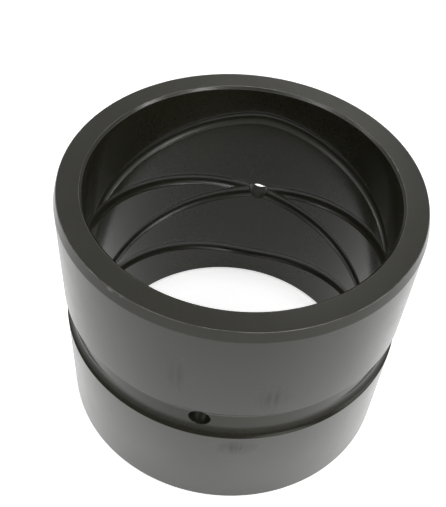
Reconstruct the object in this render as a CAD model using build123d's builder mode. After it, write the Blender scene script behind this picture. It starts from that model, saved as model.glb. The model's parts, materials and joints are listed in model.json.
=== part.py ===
"""Hardened steel sleeve bushing for a greased pivot pin, 100 x 85 x 80 mm.

The sleeve is one machined piece. It is pressed into a housing by its outside,
and a pin turns in its bore. Grease comes in through the channel round the
outside, passes the wall through two oil holes, and is spread over the bore by
two long grooves. Each groove winds twice round the bore before it closes: it
crosses itself at one oil hole, and it crosses the other groove in between.

Frame: millimetres, +Z along the bore, origin at the middle of the lower end
face. The oil holes lie along Y.
"""
from build123d import *

import os
from math import asin, cos, pi, radians, sin, tan

os.makedirs("parts", exist_ok=True)

# Sleeve
outer_diameter = 100.0
bore_diameter = 85.0
sleeve_length = 80.0

# Edges: a long shallow lead-in starts the press fit at the upper end
lead_in_length = 3.0
lead_in_angle = 15.0
lower_edge_break = 0.4
bore_mouth_chamfer = 0.7

# Grease channel round the outside, with a flat floor and round sides
channel_width = 11.8
channel_floor_width = 4.8
channel_depth = 1.6

# Radial oil holes through the wall at the channel
oil_hole_diameter = 6.0
oil_hole_edge_break = 0.15

# Grease grooves in the bore, cut by a round-nosed tool
groove_tool_radius = 2.5
groove_end_margin = 10.5
groove_peak_sharpness = 0.996
first_groove_depth = 1.25
second_groove_depth = 1.35
points_per_half_turn = 18

outer_radius = outer_diameter / 2
bore_radius = bore_diameter / 2
middle_height = sleeve_length / 2
lead_in_face_radius = outer_radius - lead_in_length * tan(radians(lead_in_angle))
mouth_radius = bore_radius + bore_mouth_chamfer

# Each side of the channel is an arc that leaves the floor smoothly and ends at the channel's edge
channel_side_width = (channel_width - channel_floor_width) / 2
channel_side_radius = (channel_side_width**2 + channel_depth**2) / (2 * channel_depth)
channel_side_centre = outer_radius - channel_depth + channel_side_radius

# A groove swings from one end margin to the other, about the oil holes
groove_swing = middle_height - groove_end_margin
middle_plane = Plane.XY.offset(middle_height)


def groove_point(turn, route_radius, side):
    """Point of a groove's route: a triangle wave with rounded peaks, in two turns."""
    wave = asin(groove_peak_sharpness * cos(turn / 2)) / asin(groove_peak_sharpness)
    return (
        route_radius * sin(turn),
        side * route_radius * cos(turn),
        middle_height + groove_swing * wave,
    )


def groove_run(depth, side):
    """Half a turn of groove at +X, from its upper peak at one side to the oil hole opposite."""
    route_radius = bore_radius + depth - groove_tool_radius
    # The route starts and ends one step outside, and the split trims it to X = 0
    steps = range(-1, points_per_half_turn + 2)
    points = [groove_point(pi * step / points_per_half_turn, route_radius, side) for step in steps]
    with BuildPart() as run:
        with BuildLine() as route:
            Spline(points)
        with BuildSketch(Plane(origin=route.wire() @ 0, z_dir=route.wire() % 0)):
            Circle(groove_tool_radius)
        sweep(path=route.wire())
        split(bisect_by=Plane.YZ)
    return run.part


def is_oil_hole_mouth(edge):
    """True for the small rings where an oil hole meets the channel floor."""
    return edge.length < 4 * oil_hole_diameter and abs(edge.center().Y) > mouth_radius


groove_runs = [
    groove_run(first_groove_depth, side=1),
    groove_run(second_groove_depth, side=-1),
]

with BuildPart() as bushing_sleeve:
    # Wall in section, with its end chamfers and the outer channel
    with BuildSketch(Plane.XZ):
        with BuildLine():
            Polyline(
                (bore_radius, bore_mouth_chamfer),
                (mouth_radius, 0),
                (outer_radius - lower_edge_break, 0),
                (outer_radius, lower_edge_break),
                (outer_radius, sleeve_length - lead_in_length),
                (lead_in_face_radius, sleeve_length),
                (mouth_radius, sleeve_length),
                (bore_radius, sleeve_length - bore_mouth_chamfer),
                close=True,
            )
        make_face()
        with Locations((channel_side_centre, middle_height)):
            SlotCenterToCenter(
                channel_floor_width,
                2 * channel_side_radius,
                rotation=90,
                mode=Mode.SUBTRACT,
            )
    revolve(axis=Axis.Z)

    # One drilling straight across makes both oil holes
    with BuildSketch(Plane.XZ):
        with Locations((0, middle_height)):
            Circle(oil_hole_diameter / 2)
    extrude(amount=outer_radius, both=True, mode=Mode.SUBTRACT)
    chamfer(bushing_sleeve.edges().filter_by(is_oil_hole_mouth), length=oil_hole_edge_break)

    # A run and its mirror images, left to right and top to bottom, close each groove
    for upper_right in groove_runs:
        upper_left = mirror(upper_right, about=Plane.YZ, mode=Mode.PRIVATE)
        for upper_run in (upper_right, upper_left):
            lower_run = mirror(upper_run, about=middle_plane, mode=Mode.PRIVATE)
            add(upper_run, mode=Mode.SUBTRACT)
            add(lower_run, mode=Mode.SUBTRACT)

bushing_sleeve.part.label = "bushing_sleeve"
export_step(bushing_sleeve.part, "parts/bushing_sleeve.step")
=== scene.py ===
"""Looks of the sleeve bushing: its mesh, blackened steel, floor, light and camera.

The CAD node is replaced by a finer mesh of the same sleeve, with rounded edges
and smooth groove lips. Lengths on the sleeve are in millimetres. Those of the
table, the light and the camera are in metres. A turn is an angle round the axis,
from +Y towards +X.
"""

import json
import math

import bpy
from mathutils import Matrix, Vector
from mathutils.geometry import delaunay_2d_cdt
from mathutils.kdtree import KDTree


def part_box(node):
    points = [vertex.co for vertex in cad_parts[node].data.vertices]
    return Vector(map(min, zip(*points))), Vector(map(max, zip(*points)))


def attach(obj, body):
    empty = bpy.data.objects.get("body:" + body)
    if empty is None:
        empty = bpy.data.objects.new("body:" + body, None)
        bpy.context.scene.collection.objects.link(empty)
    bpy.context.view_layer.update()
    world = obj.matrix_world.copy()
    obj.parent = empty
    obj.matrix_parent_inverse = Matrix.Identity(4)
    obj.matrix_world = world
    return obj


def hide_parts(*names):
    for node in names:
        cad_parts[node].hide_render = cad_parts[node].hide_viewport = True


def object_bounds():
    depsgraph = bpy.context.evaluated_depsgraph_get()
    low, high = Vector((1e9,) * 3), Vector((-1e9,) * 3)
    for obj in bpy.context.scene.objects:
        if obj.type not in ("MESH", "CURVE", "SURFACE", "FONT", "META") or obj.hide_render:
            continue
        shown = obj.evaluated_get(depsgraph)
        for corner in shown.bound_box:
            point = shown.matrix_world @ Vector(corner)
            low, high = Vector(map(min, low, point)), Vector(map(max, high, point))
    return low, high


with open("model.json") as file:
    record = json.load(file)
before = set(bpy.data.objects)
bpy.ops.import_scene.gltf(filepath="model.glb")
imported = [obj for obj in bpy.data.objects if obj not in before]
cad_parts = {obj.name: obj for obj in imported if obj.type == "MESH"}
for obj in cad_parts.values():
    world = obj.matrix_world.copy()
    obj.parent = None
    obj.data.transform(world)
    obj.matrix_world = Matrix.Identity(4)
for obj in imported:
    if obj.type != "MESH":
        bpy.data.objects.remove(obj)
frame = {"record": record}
cad_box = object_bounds()

MM = 0.001
NODE = "bushing_sleeve"
mounts = {mount["name"]: mount for mount in frame["record"]["mounts"]}

# Sleeve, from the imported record
low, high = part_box(NODE)
LENGTH = (high[2] - low[2]) / MM
OUTER_R = (high[0] - low[0]) / 2 / MM
BORE_R = mounts["bore"]["dims"]["r_mm"]
HOLE_R = mounts["oil_hole_front"]["dims"]["r_mm"]
MOUTH = (LENGTH - mounts["bore"]["dims"]["length_mm"]) / 2
MIDDLE = LENGTH / 2

# Chamfers at the two ends
LEAD_IN = 3.0
LEAD_IN_ANGLE = math.radians(15)
LOWER_BREAK = 0.4

# Grease channel round the outside, with a flat floor and round sides
CHANNEL_HALF = 5.9
CHANNEL_DEPTH = 1.6
CHANNEL_FLOOR_HALF = 2.4
CHANNEL_SIDE = CHANNEL_HALF - CHANNEL_FLOOR_HALF
CHANNEL_SIDE_R = (CHANNEL_SIDE**2 + CHANNEL_DEPTH**2) / (2 * CHANNEL_DEPTH)

# Each edge of the section: the radius of the small arc that rounds it, and how far it is worn bare. The
# bare colour is partly real wear and partly a painted highlight along the edge
NO_EDGE = (0, 0)
WALL_EDGE = (0.3, 0.3)
MOUTH_EDGE = (0.15, 1)
FACE_EDGE = (0.22, 1)
LEAD_IN_EDGE = (1.0, 0.3)
CHANNEL_TOP_EDGE = (0.3, 0)
CHANNEL_FOOT_EDGE = (0.25, 0)
LOWER_EDGE = (0.2, 1)

# Grease grooves in the bore, cut by a round-nosed tool between two end margins
TOOL_R = 2.5
GROOVE_DEPTH = 1.3
GROOVE_MARGIN = 10.5
GROOVE_SWING = MIDDLE - GROOVE_MARGIN
PEAK_SHARPNESS = 0.996
TOOL_CENTRE = TOOL_R - GROOVE_DEPTH

# Rounded lip of a groove, with the distances from the groove's middle line where it starts and ends
LIP_R = 0.35
LIP_OUTER = math.sqrt((TOOL_R + LIP_R) ** 2 - (TOOL_CENTRE + LIP_R) ** 2)
LIP_INNER = LIP_OUTER * TOOL_R / (TOOL_R + LIP_R)
# How far a groove's lips are worn bare: partly real wear, partly a painted highlight
LIP_WEAR_AND_GLINT = 0.15

# Rounded lips of an oil hole. What lies within DRILLED_R of its axis has the drilled finish
HOLE_LIP_OUTSIDE = 0.25
HOLE_LIP_INSIDE = 0.15
# How far an oil hole's outer lip is worn bare: partly real wear, partly a painted highlight
HOLE_WEAR_AND_GLINT = 0.3
HOLE_RIM_OUTSIDE = HOLE_R + HOLE_LIP_OUTSIDE
HOLE_RIM_INSIDE = HOLE_R + HOLE_LIP_INSIDE
DRILLED_R = HOLE_R + 0.02

# Mesh: stations round the sleeve, steps in each small arc, and half the size of the square window of
# cells that is left open round each oil hole
STATIONS = 480
QUARTER = STATIONS // 4
STEP = 2 * math.pi / STATIONS
ARC_STEPS = 4
WINDOW = 8
WINDOW_ROW = 0.65

# Mesh round an oil hole: rings with as many points as the window's edge
RING_SIZE = 8 * WINDOW
RING_ANGLES = [2 * math.pi * i / RING_SIZE for i in range(RING_SIZE)]
HOLE_LIP_STEPS = 3
SPREAD_STEPS = 6

# Mesh of the bore's wall: lines along each groove, by their distance from its middle line and, on its
# lip, by the share of the lip's width. Lines and single points keep some room to what lies beside them
GROOVE_LINES = (0, 0.5, 1.0, 1.4, 1.75, 2.0)
LIP_LINES = (0, 0.25, 0.5, 1)
LINE_ROOM = 0.12
PLAIN_SPACING = 2.0
PLAIN_ROOM = 0.6
PLAIN_ROOM_BY_LIP = 0.5

# Places that are closer than this are the same: across a seam, along a side of the plan, and elsewhere
SEAM = 0.004
SAME_SIDE = 1e-4
SAME_PLACE = 1e-6

# Short distance over which the slope of the bore's wall is measured, and rounds of solving for a turn
SLOPE_REACH = 0.02
SOLVING_ROUNDS = 12


# ---- Section of the sleeve -----------------------------------------------------


def left_of(direction):
    """Outward normal of an outline that keeps the material on its right."""
    return Vector((-direction.y, direction.x))


def fillet(before, corner, after, radius, worn_and_glinting):
    """Rows of a small arc that rounds a corner: (radius, height, normal, bare edge mark of wear and
    painted highlight).
    """
    arriving = (corner - before).normalized()
    leaving = (after - corner).normalized()
    turn = arriving.angle(leaving)
    convex = 1 if arriving.cross(leaving) < 0 else -1
    start_normal = left_of(arriving)
    end_normal = left_of(leaving)
    start = corner - arriving * radius * math.tan(turn / 2)
    centre = start - start_normal * radius * convex
    rows = []
    for step in range(ARC_STEPS + 1):
        share = step / ARC_STEPS
        normal = start_normal * math.sin(turn * (1 - share)) + end_normal * math.sin(turn * share)
        normal /= math.sin(turn)
        point = centre + normal * radius * convex
        rows.append((point.x, point.y, normal, worn_and_glinting * math.sin(math.pi * share)))
    return rows


def rounded(corners):
    """Rows of the arcs at all the inner corners of an outline."""
    rows = []
    for i in range(1, len(corners) - 1):
        rows += fillet(corners[i - 1][0], corners[i][0], corners[i + 1][0], *corners[i][1:])
    return rows


def up_side(height):
    """How far a height lies up or down one of the channel's round sides, past its flat floor."""
    above = height - MIDDLE
    return math.copysign(max(abs(above) - CHANNEL_FLOOR_HALF, 0), above)


def channel_radius(height):
    """Radius of the channel's surface at a height."""
    return OUTER_R - CHANNEL_DEPTH + CHANNEL_SIDE_R - math.sqrt(CHANNEL_SIDE_R**2 - up_side(height) ** 2)


def channel_normal(height):
    """Outward normal of the channel's surface, in section."""
    rise = up_side(height)
    return Vector((math.sqrt(CHANNEL_SIDE_R**2 - rise**2), -rise)) / CHANNEL_SIDE_R


def section_rows():
    """Rows from the top of the bore's wall, over the outside, to the bottom of the bore's wall."""
    face_r = OUTER_R - LEAD_IN * math.tan(LEAD_IN_ANGLE)
    into_channel = Vector((-CHANNEL_SIDE, CHANNEL_DEPTH - CHANNEL_SIDE_R)).normalized()
    out_of_channel = Vector((-into_channel.x, into_channel.y))
    channel_top = Vector((OUTER_R, MIDDLE + CHANNEL_HALF))
    channel_foot = Vector((OUTER_R, MIDDLE - CHANNEL_HALF))
    above_channel = (
        (Vector((BORE_R, MIDDLE)), *NO_EDGE),
        (Vector((BORE_R, LENGTH - MOUTH)), *WALL_EDGE),
        (Vector((BORE_R + MOUTH, LENGTH)), *MOUTH_EDGE),
        (Vector((face_r, LENGTH)), *FACE_EDGE),
        (Vector((OUTER_R, LENGTH - LEAD_IN)), *LEAD_IN_EDGE),
        (channel_top, *CHANNEL_TOP_EDGE),
        (channel_top + into_channel, *NO_EDGE),
    )
    below_channel = (
        (channel_foot - out_of_channel, *NO_EDGE),
        (channel_foot, *CHANNEL_FOOT_EDGE),
        (Vector((OUTER_R, LOWER_BREAK)), *LOWER_EDGE),
        (Vector((OUTER_R - LOWER_BREAK, 0)), *LOWER_EDGE),
        (Vector((BORE_R + MOUTH, 0)), *MOUTH_EDGE),
        (Vector((BORE_R, MOUTH)), *WALL_EDGE),
        (Vector((BORE_R, MIDDLE)), *NO_EDGE),
    )
    in_channel = []
    for step in range(WINDOW, -WINDOW - 1, -1):
        height = MIDDLE + step * WINDOW_ROW
        in_channel.append((channel_radius(height), height, channel_normal(height), 0))
    return rounded(above_channel) + in_channel + rounded(below_channel)


# ---- Surface of the bore -------------------------------------------------------


def groove_route(turn, crossing):
    """Height above the middle of a groove at a turn from an oil hole, and the cosine of its slope.

    One groove peaks over this oil hole, and the other crosses itself there.
    """
    phase = (math.pi - turn) / 2 if crossing else turn / 2
    sharp = PEAK_SHARPNESS * math.cos(phase)
    height = GROOVE_SWING * math.asin(sharp) / math.asin(PEAK_SHARPNESS)
    rise = PEAK_SHARPNESS * math.sin(phase) / math.sqrt(1 - sharp**2) / 2
    slope = GROOVE_SWING * rise / math.asin(PEAK_SHARPNESS) / BORE_R
    return height, 1 / math.hypot(1, slope)


def groove_section(distance):
    """Depth of a groove at a distance from its middle line: a round floor and a rounded lip."""
    if distance >= LIP_OUTER:
        return 0.0
    if distance >= LIP_INNER:
        return LIP_R - math.sqrt(LIP_R**2 - (LIP_OUTER - distance) ** 2)
    return math.sqrt(TOOL_R**2 - distance**2) - TOOL_CENTRE


def groove_distance(turn, above):
    """Distance along the bore's wall from the nearest groove's middle line."""
    turn = abs((turn + math.pi) % (2 * math.pi) - math.pi)
    nearest = OUTER_R
    for crossing in (False, True):
        height, level = groove_route(turn, crossing)
        nearest = min(nearest, abs(abs(above) - height) * level)
    return nearest


def bore_radius(turn, above):
    """Radius of the bore's wall, grooves included, at a height above the middle."""
    return BORE_R + groove_section(groove_distance(turn, above))


def bore_vertex(turn, above):
    """Point, normal and bare edge mark of the bore's wall: partly wear, partly a painted highlight."""
    radius = bore_radius(turn, above)
    turn_reach = SLOPE_REACH / radius
    round_rise = bore_radius(turn + turn_reach, above) - bore_radius(turn - turn_reach, above)
    up_rise = bore_radius(turn, above + SLOPE_REACH) - bore_radius(turn, above - SLOPE_REACH)
    outward = Vector((math.sin(turn), math.cos(turn), 0))
    along = Vector((math.cos(turn), -math.sin(turn), 0))
    up = Vector((0, 0, 1))
    normal = -outward + along * (round_rise / SLOPE_REACH / 2) + up * (up_rise / SLOPE_REACH / 2)
    from_lip = abs(groove_distance(turn, above) - (LIP_INNER + LIP_OUTER) / 2)
    wear = LIP_WEAR_AND_GLINT * max(0.0, 1 - from_lip / (LIP_OUTER - LIP_INNER))
    return outward * radius + up * (MIDDLE + above), normal.normalized(), wear


def bore_turn(x, above):
    """Turn at which the bore's wall has that x."""
    turn = math.asin(x / BORE_R)
    for _ in range(SOLVING_ROUNDS):
        turn = math.asin(x / bore_radius(turn, above))
    return turn


# ---- Patches of the mesh: each is its vertices and its faces -------------------


def mirrored(patch, x, y, z):
    """A patch mirrored by the signs of x, y and height above the middle."""
    vertices, faces = patch
    placed = []
    for point, normal, wear in vertices:
        there = Vector((point.x * x, point.y * y, MIDDLE + (point.z - MIDDLE) * z))
        placed.append((there, Vector((normal.x * x, normal.y * y, normal.z * z)), wear))
    return placed, [face if x * y * z > 0 else tuple(reversed(face)) for face in faces]


def joined(patches):
    """One patch made of several, with the seams between them closed."""
    everything = [vertex for vertices, _ in patches for vertex in vertices]
    places = KDTree(len(everything))
    for i, vertex in enumerate(everything):
        places.insert(vertex[0], i)
    places.balance()
    kept, number = [], {}
    for i, vertex in enumerate(everything):
        if i not in number:
            for _, same, _ in places.find_range(vertex[0], SEAM):
                number[same] = len(kept)
            kept.append(vertex)
    faces, start = [], 0
    for vertices, patch_faces in patches:
        faces += [tuple(number[start + i] for i in face) for face in patch_faces]
        start += len(vertices)
    return kept, faces


def lathe_vertex(turn, radius, height, normal, wear):
    """Point, normal and bare edge mark of a row of the section at a turn: partly wear, partly a painted
    highlight.
    """
    outward = Vector((math.sin(turn), math.cos(turn), 0))
    facing = outward * normal.x + Vector((0, 0, normal.y))
    return outward * radius + Vector((0, 0, height)), facing, wear


def lathe_patch(rows):
    """The section turned round the axis, with a window left open round each oil hole."""
    vertices = [lathe_vertex(station * STEP, *row) for station in range(STATIONS) for row in rows]
    window_top = MIDDLE + WINDOW * WINDOW_ROW
    top_row = min(j for j, row in enumerate(rows) if abs(row[1] - window_top) < SAME_PLACE)
    count = len(rows)
    faces = []
    for station in range(STATIONS):
        following = (station + 1) % STATIONS
        beside_hole = (station + WINDOW) % (STATIONS // 2) < 2 * WINDOW
        for j in range(count - 1):
            if beside_hole and top_row <= j < top_row + 2 * WINDOW:
                continue
            a, b = station * count + j, following * count + j
            faces.append((a, b, b + 1, a + 1))
    return vertices, faces


def channel_vertex(turn, above):
    """Point, normal and bare edge mark (wear and painted highlight, none here) of the channel's surface at
    a turn and a height above the middle.
    """
    height = MIDDLE + above
    return lathe_vertex(turn, channel_radius(height), height, channel_normal(height), 0.0)


def channel_turn(x, above):
    """Turn at which the channel's surface has that x."""
    return math.asin(x / channel_radius(MIDDLE + above))


def lip_rings(lip, outside):
    """Rings of a lip of the oil hole at +Y, from the surface round it to the drilled wall."""
    rings = []
    for step in range(HOLE_LIP_STEPS + 1):
        lean = math.pi / 2 * step / HOLE_LIP_STEPS
        radius = HOLE_R + lip * (1 - math.sin(lean))
        depth = lip * (1 - math.cos(lean)) * (-1 if outside else 1)
        ring = []
        for angle in RING_ANGLES:
            x, above = radius * math.cos(angle), radius * math.sin(angle)
            if outside:
                point, facing, _ = channel_vertex(channel_turn(x, above), above)
                wear = HOLE_WEAR_AND_GLINT * math.sin(2 * lean)
            else:
                point, facing, wear = bore_vertex(bore_turn(x, above), above)
            inward = Vector((-math.cos(angle), 0, -math.sin(angle)))
            normal = facing * math.cos(lean) + inward * math.sin(lean)
            ring.append((point + Vector((0, depth, 0)), normal.normalized(), wear))
        rings.append(ring)
    return rings


def window_edge(index):
    """Station and row, counted from the oil hole, of a point on the window's edge."""
    quarter, along = divmod(index, 2 * WINDOW)
    x, y = (WINDOW, along) if along <= WINDOW else (2 * WINDOW - along, WINDOW)
    for _ in range(quarter):
        x, y = -y, x
    return x, y


def window_rings():
    """Rings on the channel's surface, from the oil hole's lip out to the edge of its window."""
    rings = []
    for step in range(1, SPREAD_STEPS + 1):
        share = step / SPREAD_STEPS
        ring = []
        for i, angle in enumerate(RING_ANGLES):
            x, above = HOLE_RIM_OUTSIDE * math.cos(angle), HOLE_RIM_OUTSIDE * math.sin(angle)
            turn = channel_turn(x, above)
            station, row = window_edge(i)
            turn += (station * STEP - turn) * share
            above += (row * WINDOW_ROW - above) * share
            ring.append(channel_vertex(turn, above))
        rings.append(ring)
    return rings


def hole_patch():
    """The oil hole at +Y: its two lips, its wall, and the channel's surface out to the window."""
    rings = lip_rings(HOLE_LIP_INSIDE, outside=False)
    rings += reversed(lip_rings(HOLE_LIP_OUTSIDE, outside=True))
    rings += window_rings()
    vertices = [vertex for ring in rings for vertex in ring]
    faces = []
    for j in range(len(rings) - 1):
        for i in range(RING_SIZE):
            a, b = j * RING_SIZE + i, j * RING_SIZE + (i + 1) % RING_SIZE
            faces.append((a, b, b + RING_SIZE, a + RING_SIZE))
    return vertices, faces


# ---- Wall of the bore, planned flat by turn and height above the middle --------


class WallPlan:
    """Points and lines on an eighth of the bore's wall: a quarter turn from an oil hole, and up."""

    def __init__(self, top):
        self.top = top
        self.points = []
        self.numbers = {}
        self.lines = []

    def put(self, turn, above):
        """Number of the point at a turn and a height, which is made if it is new."""
        place = (round(turn * BORE_R, 5), round(above, 5))
        if place not in self.numbers:
            self.numbers[place] = len(self.points)
            self.points.append(Vector(place))
        return self.numbers[place]

    def chain(self, numbers):
        """Join points by lines, one after the other."""
        self.lines.extend(zip(numbers, numbers[1:]))

    def has_room(self, turn, above, room):
        """True if a place keeps clear of the bottom, the top and the oil hole."""
        inside = room < above < self.top - room
        return inside and math.hypot(BORE_R * turn, above) > HOLE_RIM_INSIDE + room


def plan_grooves(plan):
    """Lines along both grooves, each on its own side of the ridge between them, and the ridge."""
    offsets = [*GROOVE_LINES, *(LIP_INNER + (LIP_OUTER - LIP_INNER) * share for share in LIP_LINES)]
    offsets = sorted({-offset for offset in offsets} | set(offsets))
    routes = [[groove_route(j * STEP, crossing) for j in range(QUARTER + 1)] for crossing in (False, True)]
    ridge = [(upper[0] + lower[0]) / 2 for upper, lower in zip(*routes)]
    for route, side in zip(routes, (1, -1)):
        for offset in offsets:
            line = []
            for j in range(QUARTER + 1):
                above = route[j][0] + offset / route[j][1]
                if plan.has_room(j * STEP, above, LINE_ROOM) and (above - ridge[j]) * side > LINE_ROOM:
                    line.append(plan.put(j * STEP, above))
                else:
                    plan.chain(line)
                    line = []
            plan.chain(line)
    # The ridge is an edge only where the two grooves run into each other
    line = []
    for j in range(QUARTER + 1):
        if (routes[0][j][0] - ridge[j]) * routes[0][j][1] < LIP_OUTER:
            line.append(plan.put(j * STEP, ridge[j]))
    plan.chain(line)


def plan_plain_wall(plan):
    """Single points, spread over the wall between the grooves."""
    for j in range(QUARTER + 1):
        above = PLAIN_SPACING * (0.5 if j % 2 else 1)
        while above < plan.top:
            off_groove = groove_distance(j * STEP, above) > LIP_OUTER + PLAIN_ROOM_BY_LIP
            if off_groove and plan.has_room(j * STEP, above, PLAIN_ROOM):
                plan.put(j * STEP, above)
            above += PLAIN_SPACING


def plan_outline(plan):
    """Lines round the eighth: the oil hole's lip, the bottom, the top and the two upright sides."""
    lip = []
    first_quarter = RING_ANGLES[:RING_SIZE // 4 + 1]
    for angle in first_quarter:
        x, above = HOLE_RIM_INSIDE * math.cos(angle), HOLE_RIM_INSIDE * math.sin(angle)
        lip.append(plan.put(bore_turn(x, above), above))
    plan.chain(lip)
    beside_lip = math.ceil((HOLE_RIM_INSIDE + LINE_ROOM) / BORE_R / STEP)
    plan.chain([lip[0]] + [plan.put(j * STEP, 0) for j in range(beside_lip, QUARTER + 1)])
    plan.chain([plan.put(j * STEP, plan.top) for j in range(QUARTER + 1)])
    for side in (0, QUARTER * STEP * BORE_R):
        column = [i for i, point in enumerate(plan.points) if abs(point.x - side) < SAME_SIDE]
        plan.chain(sorted(column, key=lambda i: plan.points[i].y))


def bore_patch(top):
    """One eighth of the bore's wall.

    Its points lie on each groove's lines of equal depth, so that the lips stay crisp.
    """
    plan = WallPlan(top)
    plan_grooves(plan)
    plan_plain_wall(plan)
    plan_outline(plan)
    flat, _, triangles, _, _, _ = delaunay_2d_cdt(plan.points, plan.lines, [], 0, SAME_PLACE)
    vertices = [bore_vertex(place.x / BORE_R, place.y) for place in flat]
    faces = []
    for face in triangles:
        middle = sum((flat[i] for i in face), Vector((0, 0))) / len(face)
        in_hole = middle.length < HOLE_RIM_INSIDE
        if not in_hole:
            faces.append(tuple(face))
    return vertices, faces


# ---- Blackened steel -----------------------------------------------------------

STEEL_DARK = (0.0088, 0.0085, 0.0045, 1)
STEEL_LIGHT = (0.0200, 0.0195, 0.0118, 1)
# Light colour of bare edges: partly real wear, partly a painted highlight along rims and lips
BARE_EDGE_AND_GLINT = (0.16, 0.155, 0.14, 1)

# Finishes: index of refraction, and the range of roughness. The channel's finish is the bore's
FINISHES = {
    "turned": (1.6, (0.20, 0.25)),
    "bored": (1.34, (0.14, 0.19)),
    "drilled": (1.3, (0.35, 0.45)),
    "grooved": (1.5, (0.30, 0.38)),
}

# Patterns that are drawn out, one round the sleeve and one along it: how often each changes round the
# sleeve, and across its section in each metre
MARKS = (9.0, 2600.0)
STREAKS = (40.0, 30.0)

# Patterns that are alike in all directions: how often they change in each metre
CLOUDS = 28.0
MOTTLE = 160.0
GRAIN = 1500.0

# The middle range of a pattern is spread over all of the range that it sets
CONTRAST = (0.35, 0.65)
WEAR_AND_GLINT_CONTRAST = (0.3, 0.6)
WEAR_AND_GLINT_SHARE = (0.15, 0.8)
STREAK_LOW = 0.25

# Relief of the turning marks and the grain: its height in metres, its strength, and the grain's share
RELIEF_HEIGHT = 0.00004
RELIEF_STRENGTH = 0.14
RELIEF_GRAIN = 0.4

# Dull rubs on the outer wall, and small nicks in the upper rim: turn in degrees, height, half width and
# half height. A spot is at its full in its core, and fades from there to its edge
RUBS = ((-172.4, 60, 3.0, 9.0), (158.5, 53, 6.0, 7.0), (167.5, 29.5, 7.0, 5.0))
NICKS = ((-150.7, 79.6, 1.6, 0.7), (-154.9, 79.7, 1.1, 0.5), (-158.8, 79.9, 0.8, 0.4))
SPOT_CORE = 0.2
RUB_ROUGHNESS = 0.36


def add_node(tree, kind, inputs=(), **settings):
    """A shader node with its settings, and its inputs joined or set."""
    node = tree.nodes.new(kind)
    for name, value in settings.items():
        setattr(node, name, value)
    for name, value in dict(inputs).items():
        if isinstance(value, bpy.types.NodeSocket):
            tree.links.new(value, node.inputs[name])
        else:
            node.inputs[name].default_value = value
    return node


def math_node(tree, operation, first, second=0.0):
    """Output of a sum, a product or another operation on two values."""
    return add_node(tree, "ShaderNodeMath", {0: first, 1: second}, operation=operation).outputs[0]


def vector_node(tree, operation, first, second=(0, 0, 0)):
    """Outputs of an operation on two vectors: the first is a vector, and Value is a number."""
    inputs = {0: first, 1: second}
    return add_node(tree, "ShaderNodeVectorMath", inputs, operation=operation).outputs


def remap(tree, value, low_in, high_in, low_out=0.0, high_out=1.0):
    """A value carried over from one range to another, and held inside it."""
    inputs = {0: value, 1: low_in, 2: high_in, 3: low_out, 4: high_out}
    return add_node(tree, "ShaderNodeMapRange", inputs).outputs[0]


def noise(tree, vector, scale, detail=3.0, roughness=0.5):
    """A cloudy pattern around 0.5."""
    inputs = {"Vector": vector, "Scale": scale, "Detail": detail, "Roughness": roughness}
    return add_node(tree, "ShaderNodeTexNoise", inputs).outputs["Fac"]


def colour_mix(tree, share, first, second):
    """A colour between two, with a share of the second."""
    inputs = {0: share, 6: first, 7: second}
    return add_node(tree, "ShaderNodeMix", inputs, data_type="RGBA").outputs[2]


def blend(tree, first, second, share=0.5):
    """A value between two, with a share of the second."""
    kept = math_node(tree, "MULTIPLY", first, 1 - share)
    return math_node(tree, "ADD", kept, math_node(tree, "MULTIPLY", second, share))


def spot(tree, place, turn, height, half_width, half_height):
    """1 at a spot on the outer wall, fading to 0 at its edges."""
    angle = math.radians(turn)
    centre = Vector((OUTER_R * math.sin(angle), OUTER_R * math.cos(angle), height)) * MM
    spread = Vector((1 / half_width, 1 / half_width, 1 / half_height)) / MM
    offset = vector_node(tree, "SUBTRACT", place, centre)[0]
    offset = vector_node(tree, "MULTIPLY", offset, spread)[0]
    return remap(tree, vector_node(tree, "LENGTH", offset)["Value"], 1.0, SPOT_CORE)


def several_spots(tree, place, spots):
    """1 at any of several spots, fading to 0 between them."""
    total = spot(tree, place, *spots[0])
    for one in spots[1:]:
        total = math_node(tree, "MAXIMUM", total, spot(tree, place, *one))
    return total


def drawn_out(tree, place, times_round, times_across):
    """Coordinates for a pattern that changes at its own pace round the sleeve and across it."""
    axes = add_node(tree, "ShaderNodeSeparateXYZ", {0: place}).outputs
    flat = add_node(tree, "ShaderNodeCombineXYZ", {0: axes[0], 1: axes[1]}).outputs[0]
    around = add_node(tree, "ShaderNodeSeparateXYZ", {0: vector_node(tree, "NORMALIZE", flat)[0]}).outputs
    across = math_node(tree, "ADD", vector_node(tree, "LENGTH", flat)["Value"], axes[2])
    return add_node(tree, "ShaderNodeCombineXYZ", {
        0: math_node(tree, "MULTIPLY", around[0], times_round),
        1: math_node(tree, "MULTIPLY", around[1], times_round),
        2: math_node(tree, "MULTIPLY", across, times_across),
    }).outputs[0]


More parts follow.
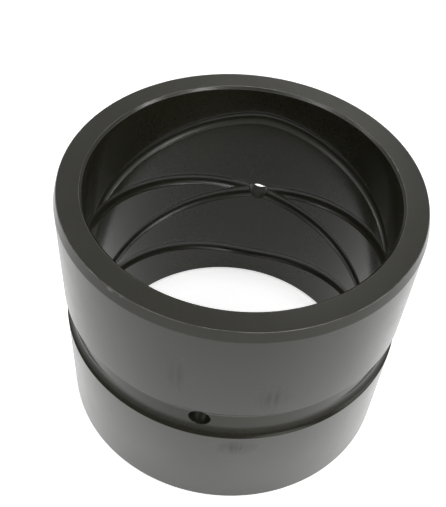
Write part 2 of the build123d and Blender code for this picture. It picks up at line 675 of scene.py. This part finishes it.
def blackened_steel(name, ior, gloss):
    """Satin black oxide on steel, with faint turning marks, worn a little at its edges; the light bare
    edges are partly a painted highlight.
    """
    material = bpy.data.materials.new(name)
    material.use_nodes = True
    tree = material.node_tree
    shader = tree.nodes["Principled BSDF"]
    place = add_node(tree, "ShaderNodeTexCoord").outputs["Object"]
    marks = noise(tree, drawn_out(tree, place, *MARKS), 1.0, roughness=0.6)
    streaks = noise(tree, drawn_out(tree, place, *STREAKS), 1.0, detail=2.0)
    clouds = noise(tree, place, CLOUDS)
    mottle = noise(tree, place, MOTTLE)
    grain = noise(tree, place, GRAIN, detail=2.0)

    rubs = several_spots(tree, place, RUBS)
    dull = math_node(tree, "MULTIPLY", rubs, remap(tree, streaks, *CONTRAST, STREAK_LOW))
    # Light bare edges: partly real wear, partly a painted highlight; the nicks are real wear
    wear = add_node(tree, "ShaderNodeAttribute", attribute_name="wear").outputs["Fac"]
    wear = math_node(tree, "MULTIPLY", wear, remap(tree, mottle, *WEAR_AND_GLINT_CONTRAST, *WEAR_AND_GLINT_SHARE))
    worn_and_glinting = math_node(tree, "MAXIMUM", wear, several_spots(tree, place, NICKS))

    shade = remap(tree, blend(tree, clouds, grain), *CONTRAST)
    colour = colour_mix(tree, shade, STEEL_DARK, STEEL_LIGHT)
    roughness = remap(tree, blend(tree, mottle, grain), *CONTRAST, *gloss)
    rubbed = math_node(tree, "MULTIPLY", dull, RUB_ROUGHNESS)
    relief = add_node(tree, "ShaderNodeBump", {
        "Strength": RELIEF_STRENGTH,
        "Distance": RELIEF_HEIGHT,
        "Height": blend(tree, marks, grain, RELIEF_GRAIN),
    }).outputs[0]
    tree.links.new(colour_mix(tree, worn_and_glinting, colour, BARE_EDGE_AND_GLINT), shader.inputs["Base Color"])
    tree.links.new(math_node(tree, "ADD", roughness, rubbed), shader.inputs["Roughness"])
    tree.links.new(relief, shader.inputs["Normal"])
    shader.inputs["IOR"].default_value = ior
    return material


# ---- The sleeve ----------------------------------------------------------------


def finish_of(face, bored):
    """Name of a face's finish."""
    x, y, height = face.center / MM
    above = height - MIDDLE
    if math.hypot(x, above) < DRILLED_R:
        return "drilled"
    if bored and groove_distance(math.atan2(x, y), above) < LIP_INNER:
        return "grooved"
    return "bored" if bored or abs(above) < CHANNEL_HALF else "turned"


def make_sleeve():
    """The sleeve as one closed mesh with its own smooth normals."""
    rows = section_rows()
    hole = hole_patch()
    wall = bore_patch(rows[0][1] - MIDDLE)
    outside = [lathe_patch(rows)] + [mirrored(hole, 1, y, 1) for y in (1, -1)]
    inside = [mirrored(wall, x, y, z) for x in (1, -1) for y in (1, -1) for z in (1, -1)]
    vertices, faces = joined(outside + inside)
    points, normals, wear = zip(*vertices)
    mesh = bpy.data.meshes.new("sleeve")
    mesh.from_pydata([point * MM for point in points], [], faces)
    mesh.attributes.new("wear", "FLOAT", "POINT").data.foreach_set("value", wear)
    for finish, (ior, gloss) in FINISHES.items():
        mesh.materials.append(blackened_steel(f"steel_{finish}", ior, gloss))
    numbers = {finish: number for number, finish in enumerate(FINISHES)}
    first_bored = sum(len(patch[1]) for patch in outside)
    finishes = [numbers[finish_of(face, face.index >= first_bored)] for face in mesh.polygons]
    mesh.polygons.foreach_set("material_index", finishes)
    mesh.shade_smooth()
    mesh.normals_split_custom_set_from_vertices([normal.normalized() for normal in normals])
    sleeve = bpy.data.objects.new("sleeve", mesh)
    bpy.context.scene.collection.objects.link(sleeve)
    return sleeve


# ---- Table, light and camera ---------------------------------------------------

# The table lies a hair below the sleeve
TABLE_SIZE = 20.0
TABLE_GAP = 0.0001
TABLE_COLOUR = (0.86, 0.86, 0.86, 1)
TABLE_ROUGHNESS = 0.8

# The table glows evenly all over. Soft discs round the sleeve add a painted pool of light at its foot and
# a wider painted shade round that: where each starts to fade, where it ends, and its strength
TABLE_GLOW = 0.45
PAINTED_LIGHT_DISCS = ((0.054, 0.080, 0.21), (0.070, 0.120, 0.14), (0.160, 0.400, -0.15))

BACKDROP = (0.93, 0.93, 0.93, 1)
SKY_GLOW = 0.4

# Far soft boxes: turn from +Y towards +X, elevation and angular radius in degrees, and strength. The
# edge of each is soft by a share of its radius, inwards and outwards
BOX_SOFTNESS = 0.3
SOFT_BOXES = (
    (0, 15, 15, 1.0),
    (90, 8, 15, 1.9),
    (135, 33, 14, 2.4),
    (225, 52, 14, 1.0),
)

# Lamps, each with a soft pool of light on the table: turn, elevation, the pool's centre in y and its
# radius, and power in watts
LAMP_DISTANCE = 1.4
LAMP_SIZE = 0.15
LAMPS = (
    (0, 90, 0.10, 0.22, 32),
    (0, 90, 0.03, 0.075, 4),
    (0, 45, 0.05, 0.15, 3),
    (45, 45, 0.05, 0.15, 20),
    (90, 45, 0.05, 0.15, 16),
    (135, 45, 0.05, 0.15, 24),
    (225, 45, 0.05, 0.15, 5),
    (270, 45, 0.05, 0.15, 20),
    (315, 45, 0.05, 0.15, 24),
)

# The camera stands in front of the sleeve and high above it, a little towards +X
CAMERA_PLACE = Vector((0.018673, -0.163894, 0.228777))
CAMERA_TARGET = Vector((-0.002212, -0.000252, 0.022371))
CAMERA_ROLL = math.radians(5.289)
CAMERA_LENS = 58.91
CAMERA_SHIFT = 0.1312
CAMERA_CLIP = 0.01


def white_with_painted_pool(material):
    """A matt white surface that glows evenly, with a painted pool of light at the sleeve's foot and a
    wider painted shade round it.
    """
    tree = material.node_tree
    shader = tree.nodes["Principled BSDF"]
    place = add_node(tree, "ShaderNodeTexCoord").outputs["Object"]
    distance = vector_node(tree, "LENGTH", place)["Value"]
    glow = TABLE_GLOW
    # Painted pool of light at the sleeve's foot, and painted shade further out
    for start, end, strength in PAINTED_LIGHT_DISCS:
        inputs = {0: distance, 1: start, 2: end, 3: strength, 4: 0.0}
        disc = add_node(tree, "ShaderNodeMapRange", inputs, interpolation_type="SMOOTHSTEP").outputs[0]
        glow = math_node(tree, "ADD", disc, glow)
    tree.links.new(glow, shader.inputs["Emission Strength"])
    shader.inputs["Emission Color"].default_value = (1, 1, 1, 1)
    shader.inputs["Base Color"].default_value = TABLE_COLOUR
    shader.inputs["Roughness"].default_value = TABLE_ROUGHNESS


def make_table():
    """A white table under the sleeve that glows evenly, with a painted pool of light and a painted shade
    round the sleeve.
    """
    half = TABLE_SIZE / 2
    corners = [(-half, -half, 0), (half, -half, 0), (half, half, 0), (-half, half, 0)]
    mesh = bpy.data.meshes.new("floor")
    mesh.from_pydata(corners, [], [(0, 1, 2, 3)])
    material = bpy.data.materials.new("table")
    material.use_nodes = True
    white_with_painted_pool(material)
    mesh.materials.append(material)
    floor = bpy.data.objects.new("floor", mesh)
    floor.location.z = cad_box[0].z - TABLE_GAP
    bpy.context.scene.collection.objects.link(floor)


def direction(turn, elevation):
    """Unit vector at a turn from +Y towards +X and an elevation, in degrees."""
    turn, elevation = math.radians(turn), math.radians(elevation)
    level = math.cos(elevation)
    return Vector((math.sin(turn) * level, math.cos(turn) * level, math.sin(elevation)))


def make_sky():
    """Dim surroundings with soft boxes in them. The camera sees a plain pale backdrop instead."""
    world = bpy.data.worlds.new("studio")
    world.use_nodes = True
    tree = world.node_tree
    towards = add_node(tree, "ShaderNodeTexCoord").outputs["Generated"]
    glow = SKY_GLOW
    for turn, elevation, size, strength in SOFT_BOXES:
        facing = vector_node(tree, "DOT_PRODUCT", towards, direction(turn, elevation))["Value"]
        edge = math.cos(math.radians((1 + BOX_SOFTNESS) * size))
        core = math.cos(math.radians((1 - BOX_SOFTNESS) * size))
        glow = math_node(tree, "ADD", remap(tree, facing, edge, core, 0.0, strength), glow)
    seen = add_node(tree, "ShaderNodeLightPath").outputs["Is Camera Ray"]
    light = add_node(tree, "ShaderNodeCombineColor", {0: glow, 1: glow, 2: glow}).outputs[0]
    tree.links.new(colour_mix(tree, seen, light, BACKDROP), tree.nodes["Background"].inputs["Color"])
    bpy.context.scene.world = world


def make_lamps():
    """Lamps that light the table round the sleeve."""
    for turn, elevation, centre, radius, power in LAMPS:
        lamp = bpy.data.lights.new("lamp", "SPOT")
        lamp.energy = power
        lamp.shadow_soft_size = LAMP_SIZE
        lamp.spot_size = 2 * math.atan(radius / LAMP_DISTANCE)
        lamp.spot_blend = 1.0
        stand = bpy.data.objects.new("lamp", lamp)
        stand.location = Vector((0, centre, 0)) + direction(turn, elevation) * LAMP_DISTANCE
        stand.rotation_mode = "QUATERNION"
        stand.rotation_quaternion = (-direction(turn, elevation)).to_track_quat("-Z", "Y")
        bpy.context.scene.collection.objects.link(stand)


def make_camera():
    """A camera that looks down into the bore from in front."""
    lens = bpy.data.cameras.new("camera")
    lens.lens = CAMERA_LENS
    lens.shift_y = CAMERA_SHIFT
    lens.clip_start = CAMERA_CLIP
    camera = bpy.data.objects.new("camera", lens)
    facing = (CAMERA_TARGET - CAMERA_PLACE).to_track_quat("-Z", "Y").to_matrix().to_4x4()
    camera.matrix_world = Matrix.Translation(CAMERA_PLACE) @ facing @ Matrix.Rotation(CAMERA_ROLL, 4, "Z")
    bpy.context.scene.collection.objects.link(camera)
    bpy.context.scene.camera = camera


sleeve = make_sleeve()
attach(sleeve, "root")
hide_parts(NODE)
make_table()
make_sky()
make_lamps()
make_camera()
bpy.context.scene.view_settings.view_transform = "Standard"
